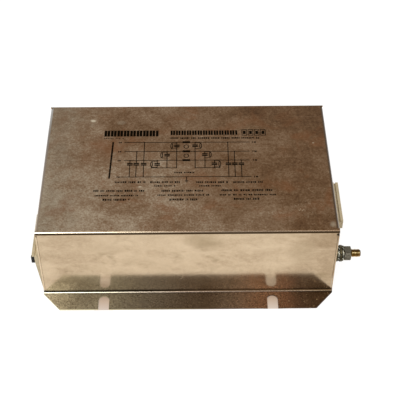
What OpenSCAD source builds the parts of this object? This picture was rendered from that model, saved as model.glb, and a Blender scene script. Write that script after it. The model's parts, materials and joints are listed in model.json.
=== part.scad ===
// Three-phase power line filter in a folded sheet-steel case.
// Origin: centre of the case's footprint, on the mounting plane.
// -X is the line end, +X the load end with the earth stud, -Y the front, +Z up.

/* [Case] */
// Length of the case over its two end walls
case_l = 210; // [200:1:230]
// Depth of the case over its front and back walls
case_d = 133; // [130:1:150]
// Height of the case above the mounting plane
case_h = 65; // [63:1:75]
// Thickness of the sheet steel
sheet = 1; // [0.8:0.1:1.2]
// Outer radius of the folds
fold_r = 2.6; // [1.6:0.1:2.8]

/* [Mounting flanges] */
// How far each flange stands out from its wall
flange_w = 16; // [15:0.5:22]
// How much of the flange's edge each corner cut takes off
flange_cut = 12.5; // [8:0.5:18]
// Distance between the two slots of a flange
slot_pitch = 122; // [100:1:140]
// Width of a slot
slot_w = 7.6; // [6.4:0.1:9]
// Metal left between the wall and the round end of a slot
slot_land = 4; // [3:0.5:6]

/* [Terminal blocks] */
// Distance between neighbouring poles
pole_pitch = 12.7; // [12:0.1:13]
// Front end of the line block, measured from the middle of the case
line_block_y = -62.7; // [-63.2:0.1:-20]
// Front end of the load block, measured from the middle of the case
load_block_y = -32; // [-35:0.5:10]
// How far the line block stands out of its end wall
line_proud = 5.4; // [4:0.1:6]
// How far the load block stands out of its end wall
load_proud = 8.4; // [6:0.1:9]
// Height of the block's top edge
block_top = 38; // [37:0.1:39]

/* [Earth stud] */
// Distance of the stud behind the front wall's face
stud_inset = 8; // [7:0.5:14]
// Height of the stud's axis
stud_z = 32.6; // [28:0.1:36]
// How far the stud stands out of the end wall
stud_out = 18.2; // [15:0.1:24]
// Thread diameter
stud_d = 6; // [6:0.5:6]

/* [Choke] */
// Outer diameter of the ring core
core_od = 60; // [54:1:60]
// Inner diameter of the ring core
core_id = 32; // [30:1:32]
// Height of the ring core
core_h = 22; // [18:1:26]
// Turns in each of the three windings
turns = 11; // [6:1:11]
// Diameter of the enamelled winding wire
wire_d = 2; // [1.4:0.1:2]

/* [Circuit board] */
// Board length along the case
board_l = 168; // [160:1:168]
// Board depth across the case
board_d = 122; // [114:1:122]
// Height of the spacers that carry the board
spacer_h = 8.4; // [7:0.2:10]

/* [Hidden] */
$fn = 48;
eps = 0.01;
ends = ["line", "load"];
poles = [1:3];
washers = [1:2];
half_l = case_l / 2;
half_d = case_d / 2;
inner_r = fold_r - sheet;
flange_y = half_d + flange_w;
seam = 0.25;
// Height of the relief notch under each upper corner's fold
corner_notch = 1.4;
window_gap = 0.2;

// Base plate, its fixing tabs and screws
base_gap = 0.25;
tab_w = 14;
tab_h = 11;
tab_hole_z = 6;
line_tabs = [2, 50];
load_tabs = [-46, 50];
screw_d = 3;
screw_len = 6;
screw_head_d = 5.6;
screw_head_h = 2;
screw_dome_r = 4;
cross_l = 3.2;
cross_w = 0.7;
cross_h = 1;
screw_clearance = 0.4;
film_t = 0.4;
film_end_gap = 8;
film_side_gap = 4;
film_corner = 2;

// Terminal block section, e is the depth behind the block's outer face
block_len = 3 * pole_pitch + 1.4;
block_bottom = 3;
block_depth = 21;
lip_bottom = 30;
lip_step = 1.7;
skirt_lean = 2.7;
block_rim = 1.2;
block_rim_t = 2;
foot_wall = 2;
ledge_w = 1.4;
ledge_e = 14;
chamber_w = 8;
chamber_e = 8;
chamber_z = [17, 34.8];
core_pocket_w = 9.6;
wire_z = 21.8;
wire_mouth_d = 8;
wire_bore_d = 4.6;
wire_cone_len = 1.5;
driver_slot = [4.2, 3.2];
driver_z = 32.6;
marker_groove = [1.2, 1.2];
marker_size = [2.2, 1.8, 6.2];
marker_proud = 0.6;
marker_inset = 0.2;
marker_lift = 0.1;
marker_slack = 0.05;

// Clamp inside each pole: contact bar and cage spring
bar_w = 6;
bar_t = 1.2;
bar_z = 24;
bar_nose_e = 8.6;
bar_nose_w = 3.6;
bar_nose_len = 3.5;
bar_tail_x = 79;
spring_t = 0.5;
spring_w = 6;
spring_window_w = 4;
spring_window_h = 4.5;
spring_loop_r = 3.4;
spring_bend_r = 1.5;
spring_foot_l = 3;
spring_foot_e = 16;
spring_front_gap = 1.2;
spring_drop = 2.2;

// Heights inside the case
board_t = 1.6;
board_corner = 3;
board_z = sheet + spacer_h;
board_top = board_z + board_t;
spacer_d = 6;
spacer_x = board_l / 2 - 12;
spacer_y = board_d / 2 - 6;

// Earth stack on the load end wall
stud_y = stud_inset - half_d;
strap_t = 0.8;
strap_w = 6;
strap_bend = 2;
strap_ring_d = 12;
strap_pad_x = 78;
stud_head_h = 4;
stud_head_af = 10;
flat_washer_t = 1.6;
flat_washer_d = 12;
tooth_washer_t = 0.7;
tooth_washer_d = 11;
tooth_ring_d = 8.8;
tooth_w = 2.4;
tooth_tilt = 22;
teeth = 8;
nut_h = 4.8;
nut_af = 10;
washer_hole = 6.4;
hex_chamfer = 0.6;
hex_face_inset = 0.1;
stud_tip = 1;
tooth_rise = tooth_w * sin(tooth_tilt) + tooth_washer_t * cos(tooth_tilt);
washer_pair = flat_washer_t + tooth_rise;
nut_x = half_l + 2 * washer_pair;
// The nut stands with a corner up and towards the front
nut_turn = 42;

// Choke
choke_disc_t = 2;
choke_disc_r = core_od / 2 - 3;
separator_t = 1.5;
separator_hub_d = 5;
separator_h = core_h + 2 * wire_d;
separator_turns = [30, 150, 270];
core_corner = 1.5;
winding_gap = 0.02;
core_z = board_top + choke_disc_t + wire_d + 2 * winding_gap;
winding_span = 95;
winding_bend = 1.6;
winding_sides = 8;
corner_steps = 3;
winding_r_out = core_od / 2 + wire_d / 2 + winding_gap;
winding_r_in = core_id / 2 - wire_d / 2 - winding_gap;
winding_z_low = core_z - wire_d / 2 - winding_gap;
winding_z_high = core_z + core_h + wire_d / 2 + winding_gap;

// Board parts
x_cap = [12, 27, 21];
y_cap = [8, 18, 14];
cap_lift = 0.6;
x_cap_x = 48;
y_cap_x = 67;
resistor_x = 58;
row_pitch = 34;
lead_d = 0.8;
lead_tail = 1.2;
cap_leg_inset = 2.5;
cap_corner = 0.8;
resistor_l = 7;
resistor_d = 2.6;
resistor_leg_y = 6;
resistor_lift = 1.5;
resistor_bend = 1;

function side(s) = s == "line" ? -1 : 1;
function block_front(s) = s == "line" ? line_block_y : load_block_y;
function proud(s) = s == "line" ? line_proud : load_proud;
function pole_y(s, i) = block_front(s) + block_len / 2 + (i - 2) * pole_pitch;
function row_y(i) = (i - 2) * row_pitch;

// Flat shapes

module rounded_rect(l, w, r) {
    square([l - 2 * r, w], center = true);
    square([l, w - 2 * r], center = true);
    for (x = [-1, 1], y = [-1, 1]) translate([x * (l / 2 - r), y * (w / 2 - r)]) circle(r);
}

// Quarter of a bent sheet, seen along the fold; qx and qy give the quadrant
module fold_arc(qx, qy) {
    intersection() {
        difference() {
            circle(fold_r);
            circle(inner_r);
        }
        translate([qx < 0 ? -fold_r : 0, qy < 0 ? -fold_r : 0]) square(fold_r);
    }
}

// Moves a solid drawn along +X (depth) to an end of the case, s = "line" or "load"
module at_end(s) {
    if (s == "line") mirror([1, 0, 0]) children();
    else children();
}

// Turns a profile drawn in (depth, height) into a solid of width w along Y
module across(w) {
    translate([0, w / 2, 0]) rotate([90, 0, 0]) linear_extrude(w) children();
}

// Case

module wall_profile(reach) {
    translate([reach - fold_r, case_h - fold_r]) fold_arc(1, 1);
    translate([0, case_h - sheet]) square([reach - fold_r, sheet]);
}

// One half of the hat section: top, wall, lower fold and flange
module hat_half() {
    wall_profile(half_d);
    translate([half_d - sheet, fold_r]) square([sheet, case_h - 2 * fold_r]);
    translate([half_d + inner_r, fold_r]) fold_arc(-1, -1);
    translate([half_d + inner_r, 0]) square([flange_w - inner_r, sheet]);
}

module hat_section() {
    hat_half();
    mirror([1, 0]) hat_half();
}

module along_x(l) {
    translate([-l / 2, 0, 0]) rotate([90, 0, 90]) linear_extrude(l) children();
}

// End wall folded down from the top; its edges cover the ends of the front and back walls
module end_wall() {
    across(2 * (half_d - fold_r - seam)) {
        wall_profile(half_l);
        translate([half_l - sheet, 0]) square([sheet, case_h - fold_r]);
    }
    translate([half_l - sheet, -half_d, fold_r + seam])
        cube([sheet, case_d, case_h - 2 * fold_r - seam - corner_notch]);
    translate([half_l - sheet, sheet + seam - half_d, 0])
        cube([sheet, case_d - 2 * (sheet + seam), fold_r + 2 * seam]);
}

// What the hat section leaves out at an end for the end wall: its fold and its two edges
module end_room() {
    translate([half_l - fold_r, fold_r - half_d, case_h - sheet - eps])
        cube([fold_r + eps, case_d - 2 * fold_r, sheet + 2 * eps]);
    for (m = [0, 1]) mirror([0, m, 0])
        translate([half_l - sheet - seam, half_d - sheet - eps, fold_r])
            cube([sheet + seam + eps, sheet + 2 * eps, case_h - 2 * fold_r]);
}

module mounting_slot(x, sy) {
    translate([x, sy * (half_d + slot_land + slot_w / 2), -eps]) {
        cylinder(h = sheet + 2 * eps, d = slot_w);
        translate([-slot_w / 2, sy > 0 ? 0 : -flange_w, 0])
            cube([slot_w, flange_w, sheet + 2 * eps]);
    }
}

// Corner cut of a flange, from the end of its fold to its edge
module flange_corner(sx, sy) {
    translate([0, 0, -eps]) linear_extrude(sheet + 2 * eps)
        polygon([[sx * half_l, sy * (half_d + inner_r)], [sx * (half_l + 1), sy * (half_d + inner_r)],
                 [sx * (half_l + 1), sy * (flange_y + 1)],
                 [sx * (half_l - flange_cut), sy * (flange_y + 1)],
                 [sx * (half_l - flange_cut), sy * flange_y]]);
}

module block_window(s) {
    translate([half_l - 2 * sheet, block_front(s) - window_gap, block_bottom - window_gap])
        cube([3 * sheet, block_len + 2 * window_gap, block_top - block_bottom + 2 * window_gap]);
}

module case_cover() {
    color("#c9b795") difference() {
        union() {
            difference() {
                along_x(case_l) hat_section();
                for (s = ends) at_end(s) end_room();
            }
            for (s = ends) at_end(s) end_wall();
        }
        for (sx = [-1, 1], sy = [-1, 1]) {
            mounting_slot(sx * slot_pitch / 2, sy);
            flange_corner(sx, sy);
        }
        for (s = ends) at_end(s) block_window(s);
        translate([half_l - 2 * sheet, stud_y, stud_z]) rotate([0, 90, 0])
            cylinder(h = 3 * sheet, d = washer_hole);
        for (y = line_tabs) translate([-half_l - sheet, y, tab_hole_z]) rotate([0, 90, 0])
            cylinder(h = 3 * sheet, d = screw_d + screw_clearance);
        for (y = load_tabs) translate([half_l - 2 * sheet, y, tab_hole_z]) rotate([0, 90, 0])
            cylinder(h = 3 * sheet, d = screw_d + screw_clearance);
    }
}

// Base plate with a fixing tab folded up behind each screw
module base_tab(y) {
    reach = half_l - sheet;
    translate([0, y, 0]) across(tab_w) {
        translate([reach - fold_r, fold_r]) fold_arc(1, -1);
        translate([reach - sheet, fold_r]) square([sheet, tab_h - fold_r]);
        translate([reach - 2 * fold_r, 0]) square([fold_r, sheet]);
    }
}

module tab_holes(list) {
    for (y = list) translate([half_l - 4 * sheet, y, tab_hole_z]) rotate([0, 90, 0])
        cylinder(h = 5 * sheet, d = screw_d);
}

module base_plate() {
    plate_l = case_l - 2 * (sheet + base_gap + fold_r);
    plate_d = case_d - 2 * (sheet + base_gap);
    color("#b9ad94") difference() {
        union() {
            translate([-plate_l / 2, -plate_d / 2, 0]) cube([plate_l, plate_d, sheet]);
            at_end("line") for (y = line_tabs) base_tab(y);
            for (y = load_tabs) base_tab(y);
        }
        at_end("line") tab_holes(line_tabs);
        tab_holes(load_tabs);
    }
}

// Pan-head screw pointing along -Z, head on top of z = 0
module pan_screw() {
    difference() {
        union() {
            translate([0, 0, -screw_len]) cylinder(h = screw_len + eps, d = screw_d);
            intersection() {
                cylinder(h = screw_head_h, d = screw_head_d);
                translate([0, 0, screw_head_h - screw_dome_r]) sphere(screw_dome_r);
            }
        }
        for (a = [0, 90]) rotate(a)
            translate([-cross_l / 2, -cross_w / 2, screw_head_h - cross_h])
                cube([cross_l, cross_w, cross_h + eps]);
    }
}

module base_screws() {
    color("#8d8a84") {
        at_end("line") for (y = line_tabs) translate([half_l, y, tab_hole_z])
            rotate([0, 90, 0]) pan_screw();
        for (y = load_tabs) translate([half_l, y, tab_hole_z])
            rotate([0, 90, 0]) pan_screw();
    }
}

module at_spacers() {
    for (x = [-1, 1], y = [-1, 1]) translate([x * spacer_x, y * spacer_y, 0]) children();
}

module insulating_film() {
    color("#d9d2b4", 0.8) difference() {
        translate([0, 0, sheet]) linear_extrude(film_t)
            rounded_rect(case_l - 2 * film_end_gap, case_d - 2 * film_side_gap, film_corner);
        at_spacers() cylinder(h = 2 * sheet, d = spacer_d + 1);
    }
}

module board_spacers() {
    color("#b5a27a") at_spacers() difference() {
        translate([0, 0, sheet]) cylinder(h = spacer_h, d = spacer_d);
        translate([0, 0, board_z - screw_len]) cylinder(h = screw_len + eps, d = screw_d);
    }
}

module board_screws() {
    color("#8d8a84") at_spacers() translate([0, 0, board_top]) pan_screw();
}

// Places of the round leads, as [x, y, diameter]
function cap_leads(x, size) = [for (s = ends, i = poles, m = [-1, 1])
    [side(s) * x, row_y(i) + m * (size[1] / 2 - cap_leg_inset), lead_d]];
resistor_leads = [for (s = ends, i = poles, m = [-1, 1])
    [side(s) * resistor_x, row_y(i) + m * resistor_leg_y, lead_d]];
winding_leads = [for (i = poles, m = [-1, 1])
    let (a = winding_mid(i) + m * winding_span / 2)
    [winding_r_out * cos(a), winding_r_out * sin(a), wire_d]];

module circuit_board() {
    color("#5d6b35") difference() {
        translate([0, 0, board_z]) linear_extrude(board_t) rounded_rect(board_l, board_d, board_corner);
        at_spacers() translate([0, 0, board_z - eps])
            cylinder(h = board_t + 2 * eps, d = screw_d + screw_clearance);
        for (p = concat(cap_leads(x_cap_x, x_cap), cap_leads(y_cap_x, y_cap), resistor_leads,
                        winding_leads))
            translate([p[0], p[1], board_z - eps]) cylinder(h = board_t + 2 * eps, d = p[2]);
        for (s = ends, i = poles) at_end(s)
            translate([bar_tail_x, pole_y(s, i) - bar_w / 2, board_z - eps])
                cube([bar_t, bar_w, board_t + 2 * eps]);
    }
}

// Choke: ring core, three windings, base disc and three-armed separator

module choke_core() {
    color("#3f4a3c") translate([0, 0, core_z]) rotate_extrude()
        translate([(core_od + core_id) / 4, core_h / 2])
            rounded_rect((core_od - core_id) / 2, core_h, core_corner);
}

module choke_base() {
    color("#2e2c28") translate([0, 0, board_top])
        cylinder(h = choke_disc_t, r = choke_disc_r);
}

module choke_separator() {
    // the arms' outer edges bear on the wall of the hole
    arm_r = sqrt(core_id * core_id - separator_t * separator_t) / 2 - eps;
    color("#2e2c28") translate([0, 0, board_top + choke_disc_t]) {
        cylinder(h = separator_h, d = separator_hub_d);
        for (a = separator_turns) rotate(a) translate([0, -separator_t / 2, 0])
            cube([arm_r, separator_t, separator_h]);
    }
}

// Wire centre line round the core's section
function winding_corner(r, z, from) = [for (k = [0:corner_steps])
    let (a = from + 90 * k / corner_steps)
    [r + winding_bend * cos(a), z + winding_bend * sin(a)]];

// One turn in (radius, height): up the outside, over the top, down the hole, back below
winding_loop = concat(
    winding_corner(winding_r_out - winding_bend, winding_z_high - winding_bend, 0),
    winding_corner(winding_r_in + winding_bend, winding_z_high - winding_bend, 90),
    winding_corner(winding_r_in + winding_bend, winding_z_low + winding_bend, 180),
    winding_corner(winding_r_out - winding_bend, winding_z_low + winding_bend, 270)
);

// Each turn stays in its own plane and steps to the next along the outside
function winding_points(mid) =
    let (n = len(winding_loop), step = winding_span / turns)
    concat(
        [lead_point(mid - winding_span / 2, board_z - lead_tail)],
        [for (t = [0:turns - 1], k = [0:n - 1])
            let (a = mid - winding_span / 2 + step * (t + k / n))
            [winding_loop[k][0] * cos(a), winding_loop[k][0] * sin(a), winding_loop[k][1]]],
        [for (z = [core_z, board_z - lead_tail]) lead_point(mid + winding_span / 2, z)]
    );

function lead_point(a, z) = [winding_r_out * cos(a), winding_r_out * sin(a), z];

function unit(v) = v / norm(v);

// Round tube of diameter d along the points, with frames carried from ring to ring
module tube_along(points, d, sides) {
    n = len(points);
    tangents = [for (i = [0:n - 1])
        i == 0 ? unit(points[1] - points[0])
        : i == n - 1 ? unit(points[i] - points[i - 1])
        : unit(unit(points[i + 1] - points[i]) + unit(points[i] - points[i - 1]))];
    first = unit(cross(tangents[0], [1, 0.2, 0]));
    normals = [for (i = 0, v = first; i < n; i = i + 1,
        v = i < n ? unit(v - tangents[i] * (v * tangents[i])) : v) v];
    rings = [for (i = [0:n - 1]) let (u = normals[i], w = cross(tangents[i], u))
        [for (k = [0:sides - 1]) let (a = 360 * k / sides)
            points[i] + d / 2 * (cos(a) * u + sin(a) * w)]];
    polyhedron(
        points = [for (ring = rings, p = ring) p],
        faces = concat(
            [[for (k = [0:sides - 1]) sides - 1 - k]],
            [for (i = [0:n - 2], k = [0:sides - 1]) let (a = i * sides, m = (k + 1) % sides)
                each [[a + k, a + m, a + sides + m], [a + k, a + sides + m, a + sides + k]]],
            [[for (k = [0:sides - 1]) (n - 1) * sides + k]]
        ),
        convexity = 10
    );
}

function winding_mid(i) = 90 + 120 * (i - 1);

module choke_winding(i) {
    color("#9a4f22") tube_along(winding_points(winding_mid(i)), wire_d, winding_sides);
}

// Board parts: box capacitors on two legs and resistors lying on the board

module box_capacitor(size, shade) {
    color(shade) translate([0, 0, board_top + cap_lift]) linear_extrude(size[2])
        rounded_rect(size[0], size[1], cap_corner);
    color("silver") for (y = [-1, 1])
        translate([0, y * (size[1] / 2 - cap_leg_inset), board_z - lead_tail])
            cylinder(h = lead_tail + board_t + cap_lift, d = lead_d);
}

module x_capacitor(s, i) {
    translate([side(s) * x_cap_x, row_y(i), 0]) box_capacitor(x_cap, "#3a63a8");
}

module y_capacitor(s, i) {
    translate([side(s) * y_cap_x, row_y(i), 0]) box_capacitor(y_cap, "#c8a13a");
}

module bleed_resistor(s, i) {
    axis_z = board_top + resistor_lift;
    translate([side(s) * resistor_x, row_y(i), 0]) {
        color("#c9b48a") translate([0, -resistor_l / 2, axis_z]) rotate([-90, 0, 0])
            cylinder(h = resistor_l, d = resistor_d);
        color("silver") for (m = [0, 1]) mirror([0, m, 0]) {
            translate([0, resistor_l / 2, axis_z]) rotate([-90, 0, 0])
                cylinder(h = resistor_leg_y - resistor_bend - resistor_l / 2, d = lead_d);
            translate([0, resistor_leg_y - resistor_bend, axis_z - resistor_bend])
                rotate([90, 0, 90]) rotate_extrude(angle = 90)
                    translate([resistor_bend, 0]) circle(d = lead_d);
            translate([0, resistor_leg_y, board_z - lead_tail])
                cylinder(h = axis_z - resistor_bend - board_z + lead_tail, d = lead_d);
        }
    }
}

// Terminal block, drawn with e = 0 at its outer face and e growing into the case

// Side view of the block: lip above, leaning skirt below it
module block_side() {
    polygon([[0, block_top], [0, lip_bottom], [lip_step, lip_bottom],
             [lip_step + skirt_lean, block_bottom], [block_depth, block_bottom],
             [block_depth, block_top]]);
}

module pole_cuts() {
    // clamp chamber, open to the back, with a ledge on each side under the contact bar
    difference() {
        translate([chamber_e, -chamber_w / 2, chamber_z[0]])
            cube([block_depth, chamber_w, chamber_z[1] - chamber_z[0]]);
        for (m = [0, 1]) mirror([0, m, 0])
            translate([ledge_e, chamber_w / 2 - ledge_w, chamber_z[0] - eps])
                cube([block_depth, ledge_w + eps, bar_z - chamber_z[0] + eps]);
    }
    // pocket that thins the foot of the moulding
    translate([chamber_e + 1, -core_pocket_w / 2, block_bottom + foot_wall])
        cube([block_depth, core_pocket_w, chamber_z[0] - block_bottom - 2 * foot_wall]);
    // wire entry, a cone that leads into a round bore
    translate([0, 0, wire_z]) rotate([0, 90, 0]) {
        cylinder(h = lip_step + skirt_lean / 2, d = wire_mouth_d);
        translate([0, 0, lip_step + skirt_lean / 2])
            cylinder(h = wire_cone_len, d1 = wire_mouth_d, d2 = wire_bore_d);
        cylinder(h = chamber_e + 1, d = wire_bore_d);
    }
    // slot for the blade that opens the clamp
    translate([-1, -driver_slot[0] / 2, driver_z - driver_slot[1] / 2])
        cube([chamber_e + 2, driver_slot[0], driver_slot[1]]);
}

module terminal_block(s) {
    wall_e = proud(s) + sheet;
    color("#cdbf95") at_end(s) translate([half_l + proud(s), 0, 0]) mirror([1, 0, 0])
        difference() {
            union() {
                translate([0, block_front(s) + block_len / 2, 0]) across(block_len) block_side();
                // rim that bears on the inside of the end wall
                translate([wall_e, block_front(s) - block_rim, block_bottom - block_rim])
                    cube([block_rim_t, block_len + 2 * block_rim,
                          block_top - block_bottom + 2 * block_rim]);
            }
            for (i = poles) translate([0, pole_y(s, i), 0]) pole_cuts();
            // groove for marker strips along the lip's top
            translate([2, block_front(s) - eps, block_top - marker_groove[1]])
                cube([marker_groove[0], block_len + 2 * eps, marker_groove[1] + eps]);
            if (s == "line") marker_body(marker_slack);
        }
}

// Small dark marker plugged into the front end of the line block's lip
module marker_body(slack) {
    translate([-marker_proud, block_front("line") - marker_inset - slack,
               lip_bottom + marker_lift - 3 * slack])
        cube([marker_size[0] + slack, marker_size[1] + 2 * slack, marker_size[2] + 3 * slack]);
}

module line_end_marker() {
    color("#26241c") at_end("line") translate([half_l + line_proud, 0, 0]) mirror([1, 0, 0])
        marker_body(0);
}

// Contact bar: nose in the clamp, back through the block and down to the board
module contact_bar(s, i) {
    tail_e = half_l + proud(s) - bar_tail_x;
    color("#b9a88a") at_end(s) translate([half_l + proud(s), pole_y(s, i), 0])
        mirror([1, 0, 0]) {
            translate([bar_nose_e, -bar_nose_w / 2, bar_z])
                cube([bar_nose_len + eps, bar_nose_w, bar_t]);
            translate([bar_nose_e + bar_nose_len, -bar_w / 2, bar_z])
                cube([tail_e - bar_nose_e - bar_nose_len - bar_t, bar_w, bar_t]);
            translate([tail_e - bar_t, 0, bar_z]) rotate([90, 0, 0])
                translate([0, 0, -bar_w / 2]) rotate_extrude(angle = 90) square([bar_t, bar_w]);
            translate([tail_e - bar_t, -bar_w / 2, board_z - lead_tail])
                cube([bar_t, bar_w, bar_z - board_z + lead_tail]);
        }
}

// Half of a bent strip ring of outer radius r, or a quarter of it
module strip_arc(r, from_z, span) {
    intersection() {
        difference() {
            circle(r);
            circle(r - spring_t);
        }
        translate(from_z) square(span);
    }
}

// Cage spring: foot on the bar, loop above it, front leg with a window round the nose
module cage_spring(s, i) {
    bar_top = bar_z + bar_t;
    front_e = bar_nose_e + spring_front_gap;
    back_e = front_e + spring_bend_r;
    top_z = bar_top + 2 * spring_loop_r;
    color("#d5d3cc") at_end(s) translate([half_l + proud(s), pole_y(s, i), 0])
        mirror([1, 0, 0]) difference() {
            across(spring_w) {
                translate([spring_foot_e - spring_foot_l, bar_top])
                    square([spring_foot_l, spring_t]);
                translate([spring_foot_e, bar_top + spring_loop_r])
                    strip_arc(spring_loop_r, [0, -spring_loop_r], [spring_loop_r, 2 * spring_loop_r]);
                translate([back_e, top_z - spring_t]) square([spring_foot_e - back_e, spring_t]);
                translate([back_e, top_z - spring_bend_r])
                    strip_arc(spring_bend_r, [-spring_bend_r, 0], [spring_bend_r, spring_bend_r]);
                translate([front_e, bar_z - spring_drop])
                    square([spring_t, top_z - spring_bend_r - bar_z + spring_drop]);
            }
            translate([front_e - spring_t, -spring_window_w / 2, bar_z - 0.02])
                cube([3 * spring_t, spring_window_w, spring_window_h]);
        }
}

// Earth stud and what it clamps

module hexagon(af, h) {
    cylinder(h = h, d = af / cos(30), $fn = 6);
}

// Chamfered hexagon along +Z; both says whether the underside is turned down too
module hex_body(af, h, both) {
    r = af / cos(30) / 2;
    intersection() {
        hexagon(af, h);
        union() {
            cylinder(h = h - hex_chamfer, r = both ? r : r + 1);
            translate([0, 0, h - hex_chamfer - eps])
                cylinder(h = hex_chamfer + eps, r1 = r, r2 = af / 2 - hex_face_inset);
        }
        if (both) union() {
            cylinder(h = hex_chamfer + eps, r1 = af / 2 - hex_face_inset, r2 = r);
            translate([0, 0, hex_chamfer]) cylinder(h = h, r = r + 1);
        }
    }
}

module earth_stud() {
    shank = stud_out + sheet + strap_t - stud_tip;
    color("#a98f4e") translate([half_l - sheet - strap_t, stud_y, stud_z]) rotate([0, 90, 0]) {
        rotate([180, 0, 0]) hex_body(stud_head_af, stud_head_h, false);
        translate([0, 0, -eps]) cylinder(h = shank + eps, d = stud_d);
        translate([0, 0, shank - eps]) cylinder(h = stud_tip + eps, d1 = stud_d, d2 = stud_d - 2);
    }
}

module washer(d, t) {
    difference() {
        cylinder(h = t, d = d);
        translate([0, 0, -eps]) cylinder(h = t + 2 * eps, d = washer_hole);
    }
}

module earth_flat_washer(k) {
    color("#a9a396") translate([half_l + (k - 1) * washer_pair, stud_y, stud_z])
        rotate([0, 90, 0]) washer(flat_washer_d, flat_washer_t);
}

// Lock washer with teeth twisted out of its plane, one behind each flat washer
module earth_lock_washer(k) {
    mid_r = (tooth_ring_d + tooth_washer_d) / 4 - 0.2;
    tooth_l = tooth_washer_d / 2 - mid_r;
    color("#8f8b80") translate([half_l + k * washer_pair - tooth_rise / 2, stud_y, stud_z])
        rotate([0, 90, 0]) difference() {
            union() {
                cylinder(h = tooth_washer_t, d = tooth_ring_d, center = true);
                for (i = [1:teeth]) rotate(360 * i / teeth) translate([mid_r, 0, 0])
                    rotate([tooth_tilt, 0, 0])
                        cube([2 * tooth_l, tooth_w, tooth_washer_t], center = true);
            }
            cylinder(h = 2 * tooth_rise, d = washer_hole, center = true);
        }
}

module earth_nut() {
    color("#9b9384") translate([nut_x, stud_y, stud_z]) rotate([0, 90, 0]) difference() {
        rotate(nut_turn) hex_body(nut_af, nut_h, true);
        translate([0, 0, -eps]) cylinder(h = nut_h + 2 * eps, d = stud_d);
    }
}

// Copper strap from under the stud's head down to the board's earth pad
module earth_strap() {
    x0 = half_l - sheet - strap_t;
    fold_x = half_l - sheet - strap_bend;
    color("#b06a3c") difference() {
        union() {
            translate([x0, stud_y, stud_z]) rotate([0, 90, 0])
                cylinder(h = strap_t, d = strap_ring_d);
            translate([x0, stud_y - strap_w / 2, board_top + strap_bend])
                cube([strap_t, strap_w, stud_z - board_top - strap_bend]);
            translate([fold_x, stud_y, board_top + strap_bend]) rotate([90, 0, 0])
                translate([0, 0, -strap_w / 2]) rotate([0, 0, 270]) rotate_extrude(angle = 90)
                    translate([strap_bend - strap_t, 0]) square([strap_t, strap_w]);
            translate([strap_pad_x, stud_y - strap_w / 2, board_top])
                cube([fold_x - strap_pad_x, strap_w, strap_t]);
        }
        translate([x0 - eps, stud_y, stud_z]) rotate([0, 90, 0])
            cylinder(h = strap_t + 2 * eps, d = washer_hole);
    }
}

case_cover();
base_plate();
base_screws();
insulating_film();
circuit_board();
board_spacers();
board_screws();
choke_core();
choke_base();
choke_separator();
for (i = poles) {
    choke_winding(i);
}
for (s = ends) {
    terminal_block(s);
}
for (s = ends, i = poles) {
    x_capacitor(s, i);
    y_capacitor(s, i);
    bleed_resistor(s, i);
    contact_bar(s, i);
    cage_spring(s, i);
}
line_end_marker();
earth_stud();
earth_strap();
for (k = washers) {
    earth_flat_washer(k);
    earth_lock_washer(k);
}
earth_nut();
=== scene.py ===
# Three-phase power line filter: finishes, print, stud thread, floor, light and camera.
import json
import math
import random

import bmesh
import bpy
from mathutils import Matrix, Vector


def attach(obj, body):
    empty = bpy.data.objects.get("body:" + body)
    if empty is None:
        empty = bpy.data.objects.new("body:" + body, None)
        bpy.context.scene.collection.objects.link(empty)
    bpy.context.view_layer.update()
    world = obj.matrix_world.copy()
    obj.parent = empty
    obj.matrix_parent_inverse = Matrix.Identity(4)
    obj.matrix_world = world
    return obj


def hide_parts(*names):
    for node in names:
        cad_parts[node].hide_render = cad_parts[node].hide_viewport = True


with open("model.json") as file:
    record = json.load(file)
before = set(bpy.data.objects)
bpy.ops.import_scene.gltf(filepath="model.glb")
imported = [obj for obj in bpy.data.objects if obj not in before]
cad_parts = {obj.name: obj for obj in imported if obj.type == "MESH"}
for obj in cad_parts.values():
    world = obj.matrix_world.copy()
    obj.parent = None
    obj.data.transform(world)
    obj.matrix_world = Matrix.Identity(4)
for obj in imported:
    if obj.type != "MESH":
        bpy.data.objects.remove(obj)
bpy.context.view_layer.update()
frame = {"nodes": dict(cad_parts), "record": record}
nodes = frame["nodes"]
mm = 0.001


def linear(r, g, b):
    # a colour read as 0 to 255, as the shader wants it
    def one(v):
        v /= 255
        return v / 12.92 if v <= 0.04045 else ((v + 0.055) / 1.055) ** 2.4
    return (one(r), one(g), one(b), 1.0)


# one value of a shader; its operators add Math nodes
class Value:
    def __init__(self, look, socket):
        self.look, self.socket = look, socket

    def math(self, operation, *values):
        return self.look.node("ShaderNodeMath", {"operation": operation}, dict(enumerate(values)))

    def __add__(self, other):
        return self.math("ADD", self, other)

    def __sub__(self, other):
        return self.math("SUBTRACT", self, other)

    def __rsub__(self, other):
        return self.math("SUBTRACT", other, self)

    def __mul__(self, other):
        return self.math("MULTIPLY", self, other)

    def __truediv__(self, other):
        return self.math("DIVIDE", self, other)

    def __abs__(self):
        return self.math("ABSOLUTE", self)

    __radd__ = __add__
    __rmul__ = __mul__


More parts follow.
